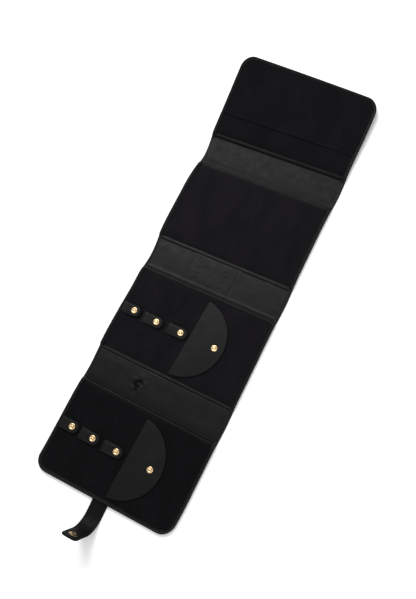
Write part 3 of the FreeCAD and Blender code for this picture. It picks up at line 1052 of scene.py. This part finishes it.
def make_tab(n, i):
    body = f"tab_{n}_{i}"
    low, high, snap_x, y, half = measures(body, f"tab_snap_{n}_{i}")
    root, end = low.x, high.x
    start = root - 1.5 * MM if i > 1 else -PAD_HALF - 1.0 * MM

    def height(x, _y):
        """Underside of the tab: flat at its root, raised at its snap."""
        base = skin_height(n, max(x, -PAD_HALF + 1 * MM), y) + 0.15 * MM
        return base + (high.z - TAB_LEATHER - base) * smooth(root, snap_x - 5 * MM, x)

    skin = plan_solid(tab_points(start, end, half, y), height, TAB_LEATHER, crease=0.2 * MM)
    piece = make_object(f"tab_leather_{n}_{i}", skin, LEATHER, 60)
    # Suede backing under the tab, cut wider than its leather: partly a real backing, and its near-black rim
    # round the tab is painted shadow
    under = plan_solid(tab_points(start + 0.4 * MM, end + 1.2 * MM, half + 0.9 * MM, y),
                       lambda x, _y: height(x, _y) - TAB_BACKING, TAB_BACKING + 0.1 * MM, 0.1 * MM)
    lining = make_object(f"tab_backing_{n}_{i}", under, SUEDE, 60)
    for part, slot, replaced in ((piece, "leather", [body]), (lining, "suede", [])):
        bend(part, replaced)
    make_snap(f"snap_{n}_{i}", f"tab_snap_{n}_{i}", body)


# Straight edge of each half-moon flap: from the left edge at its high and low end, in millimetres
FLAP_EDGES = {3: (105.7, 99.5), 4: (103.1, 99.8)}


def moon_points(n, centre_x, radius, y):
    """Outline of a half-moon flap and the point of its spine that each point runs to."""
    high, low = [from_left(x) - centre_x for x in FLAP_EDGES[n]]
    first, last = -acos(low / radius), acos(high / radius)
    heart = centre_x + (high + low) / 2 + 13 * MM
    turns = [first + (last - first) * k / 60 for k in range(61)]
    points = [(centre_x + radius * cos(angle), y + radius * sin(angle)) for angle in turns]
    top, bottom = points[-1], points[0]
    points += [(top[0] + (bottom[0] - top[0]) * share, top[1] + (bottom[1] - top[1]) * share)
               for share in np.linspace(0, 1, 34)[1:-1]]
    return points, [(heart, y + (py - y) * 0.55) for _, py in points]


def make_flap(n):
    body = f"flap_{n}"
    low, high, snap_x, y, half = measures(body, f"flap_snap_{n}")
    depth = high.x - low.x
    radius = (depth ** 2 + half ** 2) / (2 * depth)
    centre_x = high.x - radius
    edge_high, edge_low = [from_left(x) for x in FLAP_EDGES[n]]
    slope = (edge_high - edge_low) / (2 * half)

    def edge_at(py):
        return (edge_high + edge_low) / 2 + slope * (py - y)

    def height(x, py):
        base = skin_height(n, x, py) - seam_groove(n, x) + 0.2 * MM
        from_edge = x - edge_at(py)
        lifted = base + (high.z - FLAP_LEATHER - base) * smooth(0, snap_x - edge_at(py) - 9 * MM, from_edge)
        settle_in = smooth(8 * MM, 34 * MM, hypot(x - snap_x, py - y))
        settle_in *= smooth(0, 12 * MM, from_edge)
        return lifted - (lifted - base - 0.75 * MM) * 0.75 * settle_in

    skin = plan_solid(moon_points(n, centre_x, radius, y), height, FLAP_LEATHER)
    piece = make_object(f"flap_leather_{n}", skin, LEATHER, 60)
    bend(piece, [body, f"sewn_ends_{n}"])
    make_snap(f"flap_cap_{n}", f"flap_snap_{n}", body)


# ---- closing strap

STRAP_CURL = radians(78)
STRAP_BEND = 28.8 * MM        # length of strap over which it curls
STRAP_SKEW = 0.016            # sideways drift for each unit of its length
ROOT_HINGE = Vector(JOINT["strap_root_flex"]["pos_m"])
TIP_HINGE = Vector(JOINT["strap_tip_curl"]["pos_m"])
TO_FOLD = ROOT_HINGE.y - TIP_HINGE.y
STRAP_THICKNESS = TIP_HINGE.z            # the hinges lie on the strap's upper face
STRAP_SNAP_AT = TO_FOLD + 30.5 * MM
STRAP_CAP_RADIUS = 5.4
STRAP_TIP_LENGTH = 42 * MM
STRAP_CORNER = 5 * MM


def strap_frame(s):
    """Y, z and turn of the strap's inner face at a length s from the panel's edge."""
    first = TO_FOLD - STRAP_BEND / 2
    radius = STRAP_BEND / STRAP_CURL
    top = TIP_HINGE.z
    if s <= first:
        return ROOT_HINGE.y - s, top, 0.0
    turn = min((s - first) / radius, STRAP_CURL)
    y = ROOT_HINGE.y - first - radius * sin(turn)
    z = top + radius * (1 - cos(turn))
    rest = max(0.0, s - first - STRAP_BEND)
    return y - rest * cos(turn), z + rest * sin(turn), turn


# Half of one face of the strap's section: share of the half width, and depth in millimetres
STRAP_FACE = ((0.0, 0.0), (0.5, 0.0), (0.78, 0.03), (0.82, 0.14), (0.86, 0.03), (0.93, 0.0), (0.985, 0.08),
              (1.0, 0.35))
STRAP_SECTION = [(-across, depth) for across, depth in STRAP_FACE[:0:-1]] + list(STRAP_FACE)


def strap_ring(s, half, x):
    """Ring of the strap's section; the groove is the stitched line along each edge."""
    y, z, turn = strap_frame(s)
    out = (sin(turn), -cos(turn))          # from the inner face to the outer face, in y and z
    ring = []
    for face in (0, 1):
        line = STRAP_SECTION if face == 0 else STRAP_SECTION[::-1]
        for across, depth in line:
            d = depth * MM if face == 0 else STRAP_THICKNESS - depth * MM
            ring.append((x + STRAP_SKEW * s + across * half, y - out[0] * d, z + out[1] * d))
    return ring


def make_strap():
    low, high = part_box("strap_root")
    x, _ = middle_of("strap_root")
    full = (high.x - low.x) / 2
    end = TO_FOLD + STRAP_TIP_LENGTH
    split = 13 * MM
    stations = list(steps(-4 * MM, split, 1.5 * MM))
    root = make_object("strap_base", loft([strap_ring(s, full, x) for s in stations]), STRAP_LEATHER, 60)
    bend(root,
         ["strap_root"])
    stations = list(steps(split, end - STRAP_CORNER, 1.5 * MM))
    stations += [end - STRAP_CORNER * (1 - sin(radians(a))) for a in range(10, 91, 8)]
    rings = []
    for s in stations:
        over = max(0.0, s - (end - STRAP_CORNER))
        half = full - STRAP_CORNER + sqrt(max(STRAP_CORNER ** 2 - over ** 2, 0.0))
        rings.append(strap_ring(s, half, x))
    tip = make_object("strap_end", loft(rings), STRAP_LEATHER, 60)
    bend(tip, ["strap_tip"])
    make_strap_snap(x)


def make_strap_snap(x):
    """Socket on the strap's inner face and cap on its outer face."""
    y, z, turn = strap_frame(STRAP_SNAP_AT)
    up = Vector((0, sin(turn), cos(turn)))
    along = Vector((1, 0, 0))
    side = up.cross(along)
    axes = Matrix((along, side, up)).transposed()
    centre = Vector((x + STRAP_SKEW * STRAP_SNAP_AT, y, z))
    ring = ((0.0, -0.8), (1.9, -0.8), (1.9, 0.9), (2.1, 1.1), (2.6, 1.2), (3.2, 1.1), (3.6, 0.8), (4.2, 0.5),
            (4.9, 0.36), (5.3, 0.2), (STRAP_CAP_RADIUS, -0.1), (0.0, -0.1))
    flipped = Matrix((along, -side, -up)).transposed()
    cap = scaled(CAP_PROFILE, STRAP_CAP_RADIUS / CAP_RADIUS)
    parts = [turned(scaled(ring), centre, 44, axes), turned(cap, centre - up * STRAP_THICKNESS, 44, flipped)]
    place_brass("strap_button", parts, "strap_tip", "strap_snap")


# ---- stitches

STITCH_PITCH = 3.6 * MM
STITCH_LENGTH = 2.5 * MM
STITCH_RADIUS = 0.26 * MM
STITCH_INSET = 3.05 * MM
STITCH_HEIGHT = 4.2 * MM


def stitch_mesh(runs, radius):
    """Short thread stitches: runs are (start, end) pairs of points."""
    parts = []
    for start, end in runs:
        start, end = Vector(start), Vector(end)
        along = (end - start).normalized()
        side = along.cross(Vector((0, 0, 1))).normalized()
        rings = []
        for share, size, sink in ((0.0, 0.35, 1.0), (0.12, 0.85, 0.35), (0.35, 1.0, 0.0), (0.65, 1.0, 0.0),
                                  (0.88, 0.85, 0.35), (1.0, 0.35, 1.0)):
            centre = start.lerp(end, share) - Vector((0, 0, radius * sink * 1.3))
            rings.append([tuple(centre + side * (radius * size * cos(a)) +
                                Vector((0, 0, radius * size * sin(a))))
                          for a in (k * pi / 3 for k in range(6))])
        parts.append(loft(rings))
    return join_parts(parts)


def along_line(points, pitch=STITCH_PITCH, length=STITCH_LENGTH):
    """Stitches of the given length and pitch along a polyline."""
    runs = []
    wait = pitch / 2
    for a, b in zip(points, points[1:]):
        a, b = Vector(a), Vector(b)
        span = (b - a).length
        while wait + length <= span:
            runs.append((a.lerp(b, wait / span), a.lerp(b, (wait + length) / span)))
            wait += pitch
        wait = max(0.0, wait - span)
    return runs


def binding_stitches(n):
    """Stitch line round a panel's binding, as straight runs and corner arcs."""
    z = STITCH_HEIGHT
    low, high = PAD[n]
    low = free_end(4)[0] + CORNER_RADIUS if n == 4 else low
    high = free_end(1)[0] - CORNER_RADIUS if n == 1 else high
    edge = HALF_WIDTH - STITCH_INSET
    runs = []
    for side in (-1, 1):
        runs += along_line([(side * edge, low, z), (side * edge, high, z)])
    if n not in (1, 4):
        return runs
    end, way = free_end(n)
    end -= way * STITCH_INSET
    span = HALF_WIDTH - CORNER_RADIUS
    radius = CORNER_RADIUS - STITCH_INSET
    runs += along_line([(-span, end, z), (span, end, z)])
    for side in (-1, 1):
        for k in range(int(pi / 2 * radius / STITCH_PITCH)):
            start = (k + 0.3) * STITCH_PITCH / radius
            runs.append([(side * (span + radius * cos(a)), end - way * radius * (1 - sin(a)), z)
                         for a in (start, start + STITCH_LENGTH / radius)])
    return runs


def channel_stitches(n):
    """Stitch lines down the seams between a pad's channels."""
    runs = []
    for seam in pad_seams(n)[:2]:
        y0, y1 = PAD[n][0] + 4 * MM, PAD[n][1] - 4 * MM
        line = [(seam, y, lining_height(n, seam, y)) for y in steps(y0, y1, 12 * MM)]
        runs += along_line(line)
    return runs


def root_stitches(n):
    """Short rows of stitches across the sewn ends of the second and third tabs."""
    runs = []
    for i in (2, 3):
        node = f"tab_{n}_{i}"
        low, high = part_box(node)
        x, y = low.x - 0.8 * MM, middle_of(node)[1]
        z = skin_height(n, x, y) + 1.2 * MM
        reach = (high.y - low.y) / 2 - 1.2 * MM
        runs += along_line([(x, y - reach, z), (x, y + reach, z)], 2.6 * MM, 1.6 * MM)
    return runs


def make_stitches(n):
    ends = root_stitches(n) if n in CHANNELS else []
    skin = join_parts([stitch_mesh(binding_stitches(n), STITCH_RADIUS), stitch_mesh(ends, STITCH_RADIUS),
                       stitch_mesh(channel_stitches(n), 0.6 * STITCH_RADIUS)])
    place(make_object(f"stitches_{n}", skin, THREAD), f"panel_{n}")


# ---- kept CAD nodes

def paint(node, material):
    target = frame["nodes"][node]
    target.data.materials.clear()
    target.data.materials.append(material)


# ---- stage

def make_floor():
    corners = [(6.0 * x, 6.0 * y, 0) for x, y in ((-1, -1), (1, -1), (1, 1), (-1, 1))]
    white = new_material("floor_white", Base_Color=grey(0.93), Roughness=0.9, Specular_IOR_Level=0.0)[0]
    floor = make_object("floor", (corners, [(0, 1, 2, 3)]), white)
    floor.location.z = -0.02 * MM


def area_light(name, place_at, aim, size, power):
    data = bpy.data.lights.new(name, "AREA")
    data.shape = "RECTANGLE"
    data.size = size
    data.size_y = size
    data.energy = power
    light = new_object(name, data)
    light.location = place_at
    light.rotation_euler = (Vector(aim) - Vector(place_at)).to_track_quat("-Z", "Y").to_euler()


def make_lights():
    world = bpy.data.worlds.new("studio")
    bpy.context.scene.world = world
    world.use_nodes = True
    sky = world.node_tree.nodes["Background"]
    sky.inputs["Color"].default_value = grey(1.0)
    sky.inputs["Strength"].default_value = 0.75
    area_light("key", (-0.75, 1.0, 1.3), (0, 0.1, 0), 1.2, 26)
    area_light("fill", (0.9, -0.6, 1.4), (0, 0, 0), 1.4, 8)


# Camera fitted to the photo's outline
CAMERA_AIM = Vector((4.3, -2.75, 0.0)) * MM
CAMERA_DISTANCE = 883.8 * MM
CAMERA_HEADING = radians(61.19)     # turn of the view about the vertical, from along +Y
CAMERA_ELEVATION = radians(67.34)
CAMERA_ROLL = radians(36.12)
CAMERA_LENS = 42.83


def make_camera():
    data = bpy.data.cameras.new("camera")
    data.lens = CAMERA_LENS
    data.sensor_width = 36
    data.clip_start = 0.01
    data.clip_end = 50
    camera = new_object("camera", data)
    turn = Matrix.Rotation(CAMERA_HEADING, 3, "Z")
    right = turn @ Vector((1, 0, 0))
    forward = turn @ Vector((0, cos(CAMERA_ELEVATION), -sin(CAMERA_ELEVATION)))
    up = right.cross(forward)
    image_right = right * cos(CAMERA_ROLL) - up * sin(CAMERA_ROLL)
    image_up = right * sin(CAMERA_ROLL) + up * cos(CAMERA_ROLL)
    camera.matrix_world = Matrix.Translation(CAMERA_AIM - forward * CAMERA_DISTANCE) @ Matrix(
        (image_right, image_up, -forward)).transposed().to_4x4()
    bpy.context.scene.camera = camera


# ---- build

bpy.context.scene.view_settings.view_transform = "Standard"
bpy.context.scene.view_settings.gamma = 0.8
make_camera()
make_lights()
make_floor()
for number in PANELS:
    make_outer_leather(number)
    make_pad(number)
    make_panel_binding(number)
    make_stitches(number)
for number in GUSSETS:
    make_gusset(number)
    make_gusset_binding(number)
# Near-black suede strips of painted shade in the seam grooves
for gusset, half_name in GROOVE_SHADE_STRIPS:
    make_groove_shade_strip(gusset, half_name)
# Near-black suede strip of painted shade along the crease in gusset 3
make_crease_shade()
make_pockets()
for number in (3, 4):
    for index in (1, 2, 3):
        make_tab(number, index)
    make_flap(number)
    make_studs(number)
make_strap()
paint("strap_stud", BRASS)
paint("earring_stiffener", BOARD)
